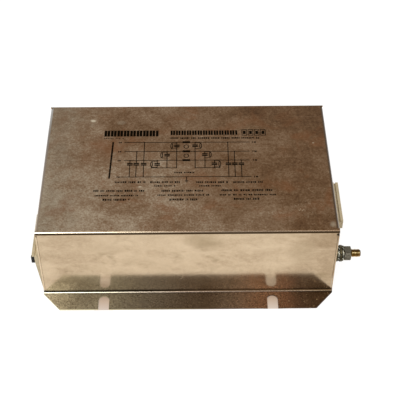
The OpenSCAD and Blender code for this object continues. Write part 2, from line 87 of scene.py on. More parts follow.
class Look:
    def __init__(self, name, owner=None, **fixed):
        self.material = owner or bpy.data.materials.new(name)
        self.material.use_nodes = True
        self.tree = self.material.node_tree
        self.shader = self.tree.nodes.get("Principled BSDF")
        for socket, value in fixed.items():
            self.shader.inputs[socket.replace("_", " ")].default_value = value
        self.place = self.node("ShaderNodeTexCoord", output="Object") if self.shader else None

    def node(self, kind, settings=None, inputs=None, output=0):
        made = self.tree.nodes.new(kind)
        for key, value in (settings or {}).items():
            if key == "stops":
                ramp = made.color_ramp
                while len(ramp.elements) < len(value):
                    ramp.elements.new(0.5)
                for element, (at, colour) in zip(ramp.elements, value):
                    element.position, element.color = at, colour
            else:
                setattr(made, key, value)
        for key, value in (inputs or {}).items():
            if isinstance(value, Value):
                self.tree.links.new(value.socket, made.inputs[key])
            else:
                made.inputs[key].default_value = value
        return Value(self, made.outputs[output])

    # smooth noise from 0 to 1; grain is the size of its patches in metres along X, Y and Z
    def noise(self, grain, detail=2.0, rough=0.5, shift=(0, 0, 0), warp=0.0):
        if not isinstance(grain, tuple):
            grain = (grain,) * 3
        scale = tuple(1 / size for size in grain)
        at = self.node("ShaderNodeMapping", {}, {"Vector": self.place, "Location": shift, "Scale": scale})
        return self.node("ShaderNodeTexNoise", {}, {"Vector": at, "Scale": 1.0, "Detail": detail,
                                                    "Roughness": rough, "Distortion": warp})

    # 0 below low, 1 above high, smooth between
    def step(self, value, low, high):
        return self.node("ShaderNodeMapRange", {"interpolation_type": "SMOOTHSTEP"},
                         {0: value, 1: low, 2: high, 3: 0.0, 4: 1.0})

    # a soft-edged field, 1 between low and high
    def band(self, value, low, high, soft):
        return self.step(value, low - soft, low + soft) * (1 - self.step(value, high - soft, high + soft))

    # thin wandering lines, 1 on a line and 0 beside it
    def hairs(self, grain, thin, shift=(0, 0, 0)):
        field = self.noise(grain, 1.0, 0.5, shift, 0.4) - 0.5
        return 1 - self.step(abs(field), 0.0, thin)

    # how far from the middle a place lies that is u and v off it
    def reach(self, u, v):
        square = u * u + v * v
        return square.math("SQRT", square)

    def ramp(self, share, stops):
        colours = [(at, linear(*rgb)) for at, rgb in stops]
        return self.node("ShaderNodeValToRGB", {"stops": colours}, {0: share})

    # 1 for the rays of a kind, such as Camera or Glossy
    def ray(self, kind):
        return Value(self, self.node("ShaderNodeLightPath").socket.node.outputs["Is %s Ray" % kind])

    # 1 for the rays that show the background: seen, mirrored or through glass
    def seenRays(self):
        seen = self.ray("Camera")
        for kind in ("Glossy", "Transmission"):
            seen = seen.math("MAXIMUM", seen, self.ray(kind))
        return seen

    def surface(self, shader):
        out = next(n for n in self.tree.nodes if n.type.startswith("OUTPUT"))
        self.tree.links.new(shader.socket, out.inputs["Surface"])

    def xyz(self, of=None):
        split = self.node("ShaderNodeSeparateXYZ", {}, {0: of or self.place})
        outputs = split.socket.node.outputs
        return [Value(self, outputs[i]) for i in range(3)]

    # how far the surface faces along X, Y and Z
    def facing(self):
        return self.xyz(self.node("ShaderNodeNewGeometry", output="Normal"))

    # a at share 0, b at share 1
    def mix(self, share, a, b):
        return self.node("ShaderNodeMix", {"data_type": "RGBA"}, {0: share, 6: a, 7: b}, output=2)

    def feed(self, **sockets):
        for name, value in sockets.items():
            self.tree.links.new(value.socket, self.shader.inputs[name.replace("_", " ")])

    def bump(self, height, strength, distance):
        self.feed(Normal=self.node("ShaderNodeBump", {}, {"Height": height, "Strength": strength,
                                                          "Distance": distance}))


# the case's plated sheet: bright beige walls, a brown top that is partly stain and partly painted
# reflection of dark surroundings, flanges olive grey to red brown
caseFinish = {
    "halfLength": 0.105, "halfDepth": 0.0665, "metallic": 0.97, "rough": 0.17,
    # noise over the sheet: grain in metres, detail, roughness, shift, warp
    "fields": {
        "broad": (0.034, 3.0, 0.55, (0, 0, 0), 0.8),
        "blotch": (0.011, 4.0, 0.65, (3.1, 1.7, 0.4), 0.5),
        "fine": (0.0028, 3.0, 0.6, (7.7, 2.9, 5.1)),
        "grain": (0.0013, 2.0, 0.6, (2.9, 8.3, 6.2)),
        "grit": (0.0008, 2.0, 0.6, (6.9, 1.3, 3.2)),
        "rolled": ((0.05, 0.0008, 0.0008), 2.0, 0.5),
        "hue": (0.024, 3.0, 0.6, (9.2, 4.4, 1.3), 0.6),
        "scratched": (0.02, 2.0, 0.5, (5.5, 0.3, 2.2)),
        "specks": ((0.0012, 0.0006, 0.0006), 1.0, 0.5, (4.2, 6.6, 8.8)),
        "nicks": ((0.0012, 0.0022, 0.002), 2.0, 0.5, (0.8, 3.5, 1.9)),
        "smear": ((0.026, 0.026, 0.014), 4.0, 0.6, (1.3, 0.2, 4.4), 0.5),
        "smudge": ((0.013, 0.013, 0.006), 3.0, 0.55, (6.1, 3.9, 2.7), 0.4),
        "smudged": (0.03, 1.0, 0.5, (1.1, 5.2, 9.4)),
    },
    "hairs": ((0.09, 0.02, 0.02), 0.004, (2.4, 8.1, 3.3)),
    # how much each field adds to a tone, the roughness, the bump or the raggedness of a patch
    "topGrain": {"broad": 0.7, "blotch": 0.5, "fine": 0.5, "grain": 0.8, "grit": 0.3, "rolled": 0.15},
    "wallGrain": {"smear": 0.9, "blotch": 0.35, "fine": 0.25, "grain": 0.2},
    "flangeDrift": {"broad": 0.1, "blotch": 0.08},
    "flangeGrain": {"fine": 0.6, "grain": 2.2, "grit": 2.2, "blotch": 0.3},
    "roughGrain": {"blotch": 0.08, "fine": 0.06},
    "bumpGrain": {"rolled": 0.5, "fine": 0.3},
    "shadeRagged": {"broad": 0.8}, "spotRagged": {"blotch": 1.0, "fine": 1.5},
    "smudgeRagged": {"blotch": 1.5, "fine": 0.8},
    # soft steps: from, to, height
    "topFall": (0.05, 0.95, -0.34), "topRise": (0.1, 1.15, 0.18), "warm": (0.0, 0.22, 0.5),
    "grey": (-0.2, 0.1, 0.4), "nicked": (0.1, 0.2, 0.6),
    "wallRises": [(0.45, 0.75, 0.07), (0.82, 0.98, 0.3)], "lineRise": (0.0, 0.07, 0.16),
    "endEdgeLit": (0.1039, 0.1041, -0.3), "smudging": (-0.04, 0.24, 0.36),
    "darkening": (-0.35, 0.65, 0.66), "speckling": (0.3, 1.0, 0.5),
    "topLight": 0.62, "wallLevel": 0.46, "speckLeast": 0.2, "scratchShare": 0.16,
    # colours; a ramp's places are shares of the length from the line end, or of the wall's tone or the
    # top's light
    "top": [(0.0, (74, 50, 30)), (0.3, (99, 73, 49)), (0.6, (123, 99, 76)), (1.0, (162, 146, 124))],
    "topWarm": (112, 70, 40), "topGrey": (128, 124, 108), "scratch": (178, 160, 134),
    "wall": [(0.0, (218, 196, 166)), (0.5, (196, 174, 144)), (1.0, (150, 126, 97))],
    "wallSmudge": (128, 108, 74), "spot": (196, 184, 160), "speck": (196, 186, 160),
    "flange": [(0.0, (142, 144, 134)), (0.14, (107, 108, 101)), (0.27, (101, 101, 94)),
               (0.36, (90, 87, 82)), (0.5, (83, 74, 66)), (0.56, (84, 73, 63)), (0.63, (108, 95, 85)),
               (0.76, (120, 93, 76)), (0.84, (99, 74, 60)), (0.9, (66, 52, 43)), (1.0, (54, 44, 32))],
    "flangeDark": (42, 31, 18),
    # painted highlights along the top fold and the foot fold, from the line end to the load end
    "topFoldGlint": [(0.0, (198, 188, 164)), (0.2, (186, 174, 150)), (0.5, (140, 122, 104)),
                (1.0, (84, 68, 52))],
    "footFoldGlint": [(0.0, (206, 200, 172)), (0.15, (200, 194, 166)), (0.32, (178, 166, 148)),
                 (0.5, (158, 138, 122)), (1.0, (84, 72, 56))],
    # painted shade: the dark line at the top fold, and at the foot dark to brown along the case; the dark
    # also shades the notch
    "foldShade": (62, 46, 28), "shadeDark": (30, 22, 6), "footShadeBrown": (104, 80, 54),
    # the flanges' cut edges: bright raw edge, with a painted highlight at the line end fading to painted
    # shade at the load end
    "cutEdgeAndGlint": [(0.0, (238, 230, 196)), (0.35, (150, 134, 100)), (0.6, (92, 72, 50)),
                (1.0, (80, 60, 42))],
    # painted light and shade on the folds at the two ends, the line end's from the back to the front
    "lineEndFoldLight": [(0.0, (170, 168, 164)), (0.12, (150, 146, 140)), (0.25, (122, 112, 102)),
                (1.0, (136, 118, 98))],
    "loadEndFoldShade": (76, 58, 40),
    # painted shade and highlight lines round the folds, by how upright the face is there: at the top
    # fold, then at the foot
    "shadeBand": ((0.16, 0.64), (0.06, 0.72)), "glintBand": ((0.64, 0.84), (0.72, 0.9)),
    # heights: where the foot begins, how far its painted shade climbs the wall and how strong it
    # is, the top of the cut edges
    "footFrom": 0.03, "footShade": (0.0024, 0.0046, 0.6), "sheetTop": 0.0012,
    # the open seam beside the line end: its side faces painted pale and not metallic, painted light over
    # the gap's shade
    "seam": (236, 214, 172), "seamAt": (0.1037, 0.1041),
    # painted shade in the notch at the front wall's corner: x, z, reach
    "notch": (0.1042, 0.0614, 0.0014),
    # where the top is scuffed: x, y, reach
    "scuff": (0.0818, -0.0455, 0.013),
    # pale spots on the top: x, y, radius along x, radius along y, strength
    "spots": [(-0.0715, 0.0486, 0.0027, 0.0019, 0.85), (-0.0502, 0.0466, 0.0034, 0.0024, 0.15),
              (-0.0339, -0.0225, 0.0016, 0.0008, 0.7), (0.0939, 0.0224, 0.0007, 0.0007, 0.9),
              (0.1009, -0.0600, 0.0026, 0.0034, 0.3)],
    # darker and lighter clouds on the top: x, y, radius along x, radius along y, strength
    "shades": [(-0.0350, 0.0300, 0.0330, 0.0290, -0.17), (0.0520, 0.0240, 0.0260, 0.0240, 0.11),
               (0.0420, 0.0560, 0.0180, 0.0100, -0.12), (-0.0450, -0.0380, 0.0300, 0.0240, -0.12),
               (0.0650, -0.0260, 0.0200, 0.0150, -0.10), (0.0950, -0.0600, 0.0300, 0.0160, -0.20),
               (-0.1030, -0.0150, 0.0070, 0.0450, 0.14), (0.0980, 0.0480, 0.0100, 0.0160, -0.12),
               (-0.0600, 0.0580, 0.0200, 0.0100, -0.08), (-0.0850, -0.0620, 0.0120, 0.0080, 0.12),
               (0.0310, -0.0620, 0.0140, 0.0060, 0.10)],
    # brown smudges on the wall: x, z, radius along x, radius along z, strength
    "smudges": [(0.0115, 0.0550, 0.0130, 0.0105, 0.42), (-0.0570, 0.0480, 0.0150, 0.0060, 0.14),
                (0.0800, 0.0430, 0.0100, 0.0140, 0.26), (-0.0420, 0.0350, 0.0060, 0.0060, 0.12)],
}


# the case's look, with the noise fields and places that its top, walls, flanges and folds share
class CaseLook(Look):
    def __init__(self, finish):
        super().__init__("caseSheet")
        self.finish = finish
        self.x, self.y, self.z = self.xyz()
        facing = self.facing()
        self.sideways, self.upright = abs(facing[0]), abs(facing[2])
        self.along = self.x / (2 * finish["halfLength"]) + 0.5  # 0 at the line end, 1 at the load end
        self.near = 0.5 - self.y / (2 * finish["halfDepth"])    # 0 at the back, 1 at the front
        self.foot = self.step(finish["footFrom"] - self.z, 0.0, 0.01)
        self.fields = {name: self.noise(*make) - 0.5 for name, make in finish["fields"].items()}
        self.scratches = self.hairs(*finish["hairs"]) * self.step(self.fields["scratched"], 0.0, 0.12)

    def tone(self, name):
        return linear(*self.finish[name])

    # the fields that finish names, each times its share
    def weigh(self, name):
        return sum(self.fields[field] * share for field, share in self.finish[name].items())

    # a soft step that goes from 0 to a height
    def rise(self, value, low, high, height):
        return self.step(value, low, high) * height

    # 1 near a place that lies u and v off, 0 well outside; edge is in shares of the radii
    def patch(self, u, v, radii, edge, ragged=None):
        reach = self.reach(u / radii[0], v / radii[1])
        if ragged:
            reach = reach + self.weigh(ragged)
        return 1 - self.step(reach, *edge)

    # greyer and lighter at the line end and towards the front
    def top(self):
        finish, along = self.finish, self.along
        light = self.rise(along, *finish["topFall"]) + self.rise(self.near, *finish["topRise"])
        light = light + self.weigh("topGrain") + finish["topLight"]
        for x, y, radiusX, radiusY, strength in finish["shades"]:
            shade = self.patch(self.x - x, self.y - y, (radiusX, radiusY), (0.2, 1.2), "shadeRagged")
            light = light + shade * strength
        colour = self.ramp(light, finish["top"])
        colour = self.mix(self.rise(self.fields["hue"], *finish["warm"]), colour, self.tone("topWarm"))
        grey = self.rise(self.fields["blotch"] * 0.4 - along, *finish["grey"])
        colour = self.mix(grey, colour, self.tone("topGrey"))
        colour = self.mix(self.scratches * finish["scratchShare"], colour, self.tone("scratch"))
        x, y, reach = finish["scuff"]
        scuffed = self.patch(self.x - x, self.y - y, (reach, reach), (0.0, 1.0))
        nicks = self.rise(self.fields["nicks"], *finish["nicked"])
        colour = self.mix(nicks * scuffed, colour, self.tone("scratch"))
        for x, y, radiusX, radiusY, strength in finish["spots"]:
            spot = self.patch(self.x - x, self.y - y, (radiusX, radiusY), (0.3, 1.2), "spotRagged")
            colour = self.mix(spot * strength, colour, self.tone("spot"))
        return colour

    # bright, with soft smears along the case, darker at the load end
    def wall(self):
        finish, along = self.finish, self.along
        wallTone = self.weigh("wallGrain") + finish["wallLevel"]
        wallTone = wallTone + (1 - self.step(along, 0.0, 0.35)) * self.rise(along, *finish["lineRise"])
        # painted light: the end wall's edge strip at the line end is made lighter over the shade beside it
        wallTone = wallTone + self.rise(0 - self.x, *finish["endEdgeLit"])
        for rise in finish["wallRises"]:
            wallTone = wallTone + self.rise(along, *rise)
        colour = self.ramp(wallTone, finish["wall"])
        smudge = self.rise(self.fields["smudge"], *finish["smudging"])
        smudge = smudge * self.step(self.fields["smudged"], 0.0, 0.12)
        colour = self.mix(smudge, colour, self.tone("wallSmudge"))
        for x, z, radiusX, radiusZ, strength in finish["smudges"]:
            smudge = self.patch(self.x - x, self.z - z, (radiusX, radiusZ), (0.2, 1.3), "smudgeRagged")
            colour = self.mix(smudge * strength, colour, self.tone("wallSmudge"))
        return colour

    # mottled with dark grains and pale specks
    def flange(self):
        finish = self.finish
        colour = self.ramp(self.along + self.weigh("flangeDrift"), finish["flange"])
        dark = self.rise(self.weigh("flangeGrain"), *finish["darkening"])
        colour = self.mix(dark, colour, self.tone("flangeDark"))
        share = self.rise(self.along, *finish["speckling"]) + finish["speckLeast"]
        specks = self.step(self.fields["specks"], 0.2, 0.26) * share
        return self.mix(specks, colour, self.tone("speck"))

    # a line round the folds that finish names; its limits change from the top fold to the foot
    def foldLine(self, name):
        low, high = (self.foot * (there - here) + here for here, there in zip(*self.finish[name]))
        return self.band(self.upright, low, high, 0.04)

    # each fold along the case gets a painted highlight line over or under a painted shade line, and
    # the end folds get painted light and shade
    def folds(self, colour):
        finish = self.finish
        alongFold = 1 - self.step(self.sideways, 0.05, 0.12)
        brown = self.step(self.along, 0.3, 0.65)
        footShade = self.mix(brown, self.tone("shadeDark"), self.tone("footShadeBrown"))
        low, high, most = finish["footShade"]
        # painted shade that climbs the wall above the foot fold
        climb = (1 - self.step(self.z, low, high)) * (1 - self.upright) * alongFold * most
        shaded = self.foldLine("shadeBand") * alongFold
        shaded = shaded.math("MAXIMUM", shaded, climb)
        colour = self.mix(shaded, colour, self.mix(self.foot, self.tone("foldShade"), footShade))
        place = self.along + self.fields["blotch"] * 0.2
        topGlint, footGlint = (self.ramp(place, finish[name]) for name in ("topFoldGlint", "footFoldGlint"))
        glint = self.mix(self.foot, topGlint, footGlint)
        colour = self.mix(self.foldLine("glintBand") * alongFold, colour, glint)
        # painted light and shade on the folds at the two ends
        atLoad = self.step(self.along, 0.4, 0.6)
        endFoldShading = self.mix(atLoad, self.ramp(self.near, finish["lineEndFoldLight"]), self.tone("loadEndFoldShade"))
        endFold = self.band(self.upright, 0.12, 0.985, 0.03) * self.step(self.sideways, 0.1, 0.2)
        return self.mix(endFold, colour, endFoldShading)

    # the flanges' cut edges with their painted highlight, and the notch's painted shade
    def details(self, colour):
        finish = self.finish
        edge = self.step(finish["sheetTop"] - self.z, 0.0, 0.0001) * (1 - self.step(self.upright, 0.1, 0.3))
        colour = self.mix(edge, colour, self.ramp(self.along, finish["cutEdgeAndGlint"]))
        # painted shade in the notch at the front wall's corner
        x, z, reach = finish["notch"]
        notch = self.patch(self.x - x, self.z - z, (reach, reach), (0.6, 1.2))
        return self.mix(notch * (1 - self.upright), colour, self.tone("shadeDark"))


def caseLook():
    finish, look = caseFinish, CaseLook(caseFinish)
    # the top's brown against the bright walls is partly stain and partly painted reflection
    level = look.mix(look.foot, look.top(), look.flange())
    colour = look.mix(look.step(look.upright, 0.66, 0.76), look.wall(), level)
    colour = look.details(look.folds(colour))
    # painted light: the seam's side faces pale and not metallic, over the gap's shade
    seam = look.band(0 - look.x, *finish["seamAt"], 0.00003) * look.step(look.sideways, 0.8, 0.9)
    flat = look.step(look.upright, 0.9, 0.99)
    rough = look.weigh("roughGrain") + flat * 0.1 + look.scratches * 0.1 + finish["rough"]
    look.feed(Base_Color=look.mix(seam, colour, look.tone("seam")), Roughness=rough)
    look.feed(Metallic=(1 - seam) * finish["metallic"])
    look.bump(look.weigh("bumpGrain") - look.scratches * 0.3, 0.12, 0.0001)
    return look.material


# a colour clouded with a darker one; grain is the size of the smaller patches in metres
def clouded(look, rgb, dark, grain, rough):
    coarse = look.noise(grain * 4, 3.0, 0.55, warp=0.3)
    fine = look.noise(grain, 3.0, 0.6, shift=(2.2, 5.1, 0.7))
    share = look.step(coarse * 0.6 + fine * 0.4, 0.3, 0.7)
    look.feed(Roughness=fine * 0.15 + rough)
    look.bump(fine, 0.1, 0.0002)
    return look.mix(share, linear(*rgb), linear(*dark))


def plainLook(name, rgb, dark, grain, metallic=0.0, rough=0.5, **fixed):
    look = Look(name, Metallic=metallic, **fixed)
    look.feed(Base_Color=clouded(look, rgb, dark, grain, rough))
    return look.material


# the stud's brass, dark in the thread's grooves, with painted shade on top and a painted highlight above
# its front; y and z of the axis and both radii in metres
brassFinish = {"y": -0.0585, "z": 0.0326, "root": 0.0025, "crest": 0.00275, "groove": (84, 60, 24),
               "round": [(0.0, (208, 172, 100)), (0.52, (208, 172, 100)), (0.62, (150, 114, 48)),
                         (0.8, (158, 122, 54)), (0.86, (214, 178, 96)), (0.91, (255, 250, 214)),
                         (0.95, (196, 160, 88)), (0.99, (84, 58, 20))]}


def brassLook():
    finish = brassFinish
    look = Look("studBrass", Metallic=1.0)
    at = look.xyz()
    y, z = at[1] - finish["y"], at[2] - finish["z"]
    radius = look.reach(y, z)
    stain = look.noise(0.002, 3.0, 0.6)
    # painted shade and painted highlight by the angle round the axis
    crest = look.ramp(z / radius * 0.5 + stain * 0.1 + 0.45, finish["round"])
    onCrest = look.step(radius, finish["root"], finish["crest"])
    look.feed(Base_Color=look.mix(onCrest, linear(*finish["groove"]), crest))
    look.feed(Roughness=stain * 0.2 + 0.12)
    look.bump(look.noise(0.0006, 3.0, 0.6), 0.1, 0.0001)
    return look.material


# the blocks' ivory; painted light in the line block's marker groove, paler over its shade: below x,
# between two heights
ivoryFinish = {"light": (186, 171, 140), "dark": (166, 151, 118), "pale": (210, 195, 162),
               "grain": 0.002, "rough": 0.4, "below": -0.104, "groove": (0.0362, 0.03796)}


def ivoryLook():
    finish = ivoryFinish
    look = Look("ivoryPlastic", Metallic=0.0)
    at = look.xyz()
    forward = abs(look.facing()[1])
    low, high = finish["groove"]
    # painted light in the marker groove, over its shade
    groove = look.band(at[2], low, high, 0.00003) * (1 - look.step(forward, 0.4, 0.6))
    groove = groove * (1 - look.step(at[0], finish["below"], finish["below"] + 0.0001))
    tone = clouded(look, finish["light"], finish["dark"], finish["grain"], finish["rough"])
    look.feed(Base_Color=look.mix(groove, tone, linear(*finish["pale"])))
    return look.material


# the nut's steel, with painted shade on its upper faces
nutFinish = {"side": (172, 164, 146), "upper": (90, 85, 73), "stain": (60, 52, 40)}


def nutLook():
    finish = nutFinish
    look = Look("nutSteel", Metallic=1.0)
    stain = look.noise(0.0016, 3.0, 0.6)
    # painted shade: the faces that look upwards are darker
    upper = look.step(look.facing()[2] + stain * 0.4, 0.2, 0.6)
    tone = look.mix(upper, linear(*finish["side"]), linear(*finish["upper"]))
    look.feed(Base_Color=look.mix(look.step(stain, 0.45, 0.7) * 0.5, tone, linear(*finish["stain"])))
    look.feed(Roughness=stain * 0.2 + 0.16)
    return look.material


looks = {
    "case_sheet": caseLook(),
    "base_sheet": plainLook("baseSheet", (190, 178, 152), (160, 146, 118), 0.004, 0.9, 0.25),
    "screw_steel": plainLook("screwSteel", (178, 172, 160), (128, 118, 100), 0.0012, 1.0, 0.3),
    "washer_steel": plainLook("washerSteel", (94, 86, 64), (24, 18, 10), 0.0008, 1.0, 0.22),
    "nut_steel": nutLook(),
    "spring_steel": plainLook("springSteel", (205, 203, 196), (175, 172, 162), 0.002, 1.0, 0.22),
    "stud_brass": brassLook(),
    "spacer_brass": plainLook("spacerBrass", (205, 180, 120), (165, 138, 84), 0.002, 1.0, 0.28),
    "tinned_copper": plainLook("tinnedCopper", (200, 194, 180), (158, 148, 128), 0.002, 1.0, 0.3),
    "copper": plainLook("enamelledCopper", (170, 78, 36), (120, 48, 22), 0.0015, 0.7, 0.25),
    "ferrite": plainLook("ferrite", (64, 66, 62), (44, 45, 42), 0.0012, 0.0, 0.5),
    "resistor_body": plainLook("resistorBody", (206, 186, 142), (184, 160, 116), 0.001, 0.0, 0.4),
    "laminate": plainLook("laminate", (92, 108, 58), (74, 90, 46), 0.0008, 0.0, 0.4),
    "film": plainLook("film", (214, 204, 170), (196, 184, 148), 0.002, 0.0, 0.45),
    "ivory_plastic": ivoryLook(),
    "black_plastic": plainLook("blackPlastic", (20, 20, 15), (12, 12, 9), 0.001, 0.0, 0.5,
                               Specular_IOR_Level=0.2),
    "x_capacitor_case": plainLook("xCapacitorCase", (62, 96, 158), (52, 84, 142), 0.002, 0.0, 0.3),
    "y_capacitor_case": plainLook("yCapacitorCase", (206, 168, 62), (188, 150, 50), 0.002, 0.0, 0.3),
}
toothed = plainLook("toothedWasher", (206, 202, 182), (12, 9, 4), 0.0006, 1.0, 0.2)
slots = {part["node"]: part["material_slot"] for part in frame["record"]["subparts"]}
for name, obj in nodes.items():
    obj.data.materials.clear()
    obj.data.materials.append(toothed if name.startswith("earth_lock_washer") else looks[slots[name]])
print("materials on", len(nodes), "nodes")


def addPiece(name, bm, look):
    mesh = bpy.data.meshes.new(name)
    bm.to_mesh(mesh)
    bm.free()
    mesh.materials.append(look)
    piece = bpy.data.objects.new(name, mesh)
    bpy.context.scene.collection.objects.link(piece)
    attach(piece, "root")
    return piece


# the circuit drawing printed on the top, with rows of plain dashes and bars around it, in mm
printArt = {
    # the marks' height on the case, how thick they are, how far they sink in, the usual line's width
    "top": 65.0, "ink": 0.02, "sunk": 0.002, "hair": 0.6, "shift": (-0.42, -0.35), "turn": -0.0043,
    # the lines from end to end: first x, last x, y; the last one is earth
    "mains": [(-46.5, 47.0, 24.4), (-46.1, 46.6, 14.5), (-45.8, 46.1, 5.1), (-48.0, 46.8, -12.1)],
    # at both ends of a line a stroke and a bar: x range, their widths and heights
    "labels": [(-50.6, -48.2), (48.6, 52.2)], "labelStroke": (0.6, 1.7), "labelBar": (0.45, 1.3),
    # the leaning beaded line at the left: x, upper y, lower y, width, beads, lean
    "beadLine": (-54.8, 24.9, -13.6, 1.35, 26, 0.045), "beadTurn": -0.028,
    "plate": (4.1, 1.2), "plateGap": 0.4, "dot": 0.9, "earthDot": 0.8,
    # capacitors to earth: x, y of their line
    "earthCaps": [(-31.4, 24.4), (-36.8, 14.5), (-41.5, 5.1), (30.6, 24.4), (35.2, 14.5), (40.0, 5.1)],
    "earthCapY": 1.1,
    # capacitors to a common point: x, y of their line, y of the plates, x of the resistor's oval
    "starCaps": [(-7.3, 24.4, 20.4, -11.1), (-14.4, 14.5, 10.6, -18.4), (-21.5, 5.1, 0.9, -25.6),
                 (6.2, 24.4, 20.6, 10.4), (13.4, 14.5, 11.0, 17.4), (20.3, 5.1, 1.2, 24.2)],
    "stars": [(-25.6, -7.3), (6.2, 24.2)], "starY": -2.8, "starLeg": (-2.2, 2.3), "oval": (1.0, 3.1),
    "chokeX": -0.3, "chokeBar": (5.6, 2.1), "chokeRing": (2.0, 2.2), "chokeRings": [19.7, 9.8],
    # the earth sign: length of its stem, widths of its bars, their height and pitch
    "earthStem": 3.8, "earthBars": (2.6, 1.8, 1.0), "earthBar": 0.45, "earthPitch": 0.8,
    # rows of small dashes: first x, last x, middle y, height
    "rows": [(-8.9, 5.2, -7.7, 1.5), (-51.6, -29.5, -17.4, 1.8), (-26.2, -5.0, -17.5, 1.8),
             (7.0, 29.2, -17.7, 1.8), (33.5, 54.2, -17.8, 1.8), (-23.2, -8.8, -21.3, 1.5),
             (8.9, 23.8, -21.4, 1.5), (-12.1, 54.4, 29.0, 1.8), (-61.8, -46.7, 29.1, 0.7),
             (-66.5, -30.7, -26.1, 1.9), (-65.3, -34.9, -30.8, 1.5), (-59.4, -40.9, -34.8, 2.0),
             (-17.9, 12.7, -26.2, 1.9), (-20.7, 16.4, -30.5, 1.5), (-12.1, 7.8, -34.9, 2.0),
             (24.6, 62.4, -25.9, 1.9), (23.5, 63.0, -30.4, 1.5), (33.4, 51.4, -34.6, 2.0)],
    "dashes": (0.55, 0.8, 0.8, 1.05, 1.25), "dashGap": 0.38, "wordGap": 1.1,
    # rows of upright bars: first x, last x, middle y, height, bar, gap
    "bars": [(-61.8, -20.7, 34.3, 6.5, 1.95, 0.6), (-12.1, 39.0, 34.9, 5.0, 1.5, 0.68)],
    # a row of framed cells: first x, last x, middle y, height
    "panel": (41.0, 59.8, 35.0, 7.0), "panelCells": 4, "panelFrame": (0.6, 0.5), "cellDot": (2.6, 3.4),
}


def dab(bm, x, y, w, h, turn=0.0):
    # one printed mark, a very thin slab lying on the top
    art = printArt
    middle = Matrix.Translation((x, y, art["top"] + art["ink"] / 2 - art["sunk"]))
    place = middle @ Matrix.Rotation(turn, 4, "Z")
    bmesh.ops.create_cube(bm, size=1, matrix=place @ Matrix.Diagonal((w, h, art["ink"], 1)))


def loop(bm, x, y, rx, ry, line):
    # one printed outline, round or oval
    art = printArt
    place = Matrix.Translation((x, y, art["top"] + art["ink"] - art["sunk"]))
    made = bmesh.ops.create_circle(bm, cap_ends=True, segments=20, radius=1.0,
                                   matrix=place @ Matrix.Diagonal((rx, ry, 1, 1)))
    face = made["verts"][0].link_faces[0]
    if face.normal.z < 0:
        face.normal_flip()
    ring = bmesh.ops.inset_individual(bm, faces=[face], thickness=line)["faces"]
    bmesh.ops.delete(bm, geom=[face], context="FACES_ONLY")
    bmesh.ops.solidify(bm, geom=[f for f in ring if f.is_valid], thickness=art["ink"])


def capacitor(bm, x, yTop, yMid, yEnd):
    # two plates and the lines that lead to them from above and below
    art = printArt
    plateW, plateT = art["plate"]
    for sign, y in ((1, yTop), (-1, yEnd)):
        edge = yMid + sign * (art["plateGap"] / 2 + plateT / 2)
        dab(bm, x, edge, plateW, plateT)
        dab(bm, x, (edge + y) / 2, art["hair"], abs(edge - y))


def printLines(bm):
    art = printArt
    strokeW, strokeH = art["labelStroke"]
    barShare, barH = art["labelBar"]
    for x0, x1, y in art["mains"]:
        dab(bm, (x0 + x1) / 2, y, x1 - x0, art["hair"])
        for a, b in art["labels"]:
            dab(bm, a + 0.4, y, strokeW, strokeH)
            dab(bm, (a + b) / 2 + 0.5, y - 0.1, (b - a) * barShare, barH)
    x, y0, y1, w, beads, lean = art["beadLine"]
    for i in range(beads):
        dab(bm, x - lean * i, y0 + (y1 - y0) * (i + 0.5) / beads, w, (y0 - y1) / beads * 0.84)
    dab(bm, x - 0.5, (y0 + y1) / 2, art["hair"], y0 - y1, art["beadTurn"])


def printCapacitors(bm):
    art = printArt
    hair, earthY = art["hair"], art["mains"][3][2]
    for x, y in art["earthCaps"]:
        capacitor(bm, x, y, art["earthCapY"], earthY)
        dab(bm, x, y, art["dot"], art["dot"])
        dab(bm, x, earthY, art["earthDot"], art["earthDot"])
    rx, ry = art["oval"]
    for x, y, mid, ovalX in art["starCaps"]:
        capacitor(bm, x, y, mid, art["starY"])
        loop(bm, ovalX, mid, rx, ry, hair)
        for sign in (1, -1):
            dab(bm, (x + ovalX) / 2, mid + sign * ry, abs(x - ovalX), hair * 0.8)
    legY, legH = art["starLeg"]
    for a, b in art["stars"]:
        dab(bm, (a + b) / 2, art["starY"], b - a, hair)
        for x in (a, b):
            dab(bm, x, legY, hair, legH)


def printChoke(bm):
    art = printArt
    hair, earthY, stem = art["hair"], art["mains"][3][2], art["earthStem"]
    for x0, x1, y in art["mains"][:3]:
        dab(bm, art["chokeX"], y + 0.1, *art["chokeBar"])
    for y in art["chokeRings"]:
        loop(bm, art["chokeX"], y, *art["chokeRing"], hair)
    dab(bm, 0, earthY - stem / 2, hair, stem)
    for i, w in enumerate(art["earthBars"]):
        dab(bm, 0, earthY - stem - 0.1 - art["earthPitch"] * i, w, art["earthBar"])


def printRows(bm):
    art = printArt
    pick = random.Random(7)
    for x0, x1, y, h in art["rows"]:
        x, left = x0, pick.randint(3, 8)
        while x < x1:
            w = pick.choice(art["dashes"])
            dab(bm, x + w / 2, y + pick.uniform(-0.06, 0.06) * h, w, h * pick.choice((1, 1, 0.8)))
            x += w + art["dashGap"]
            left -= 1
            if left == 0:
                x, left = x + art["wordGap"], pick.randint(2, 8)
    for x0, x1, y, h, w, gap in art["bars"]:
        x, i = x0, 0
        while x + w <= x1:
            dab(bm, x + w / 2, y, w, h)
            x, i = x + w + (gap if i % 2 else gap * 0.55), i + 1


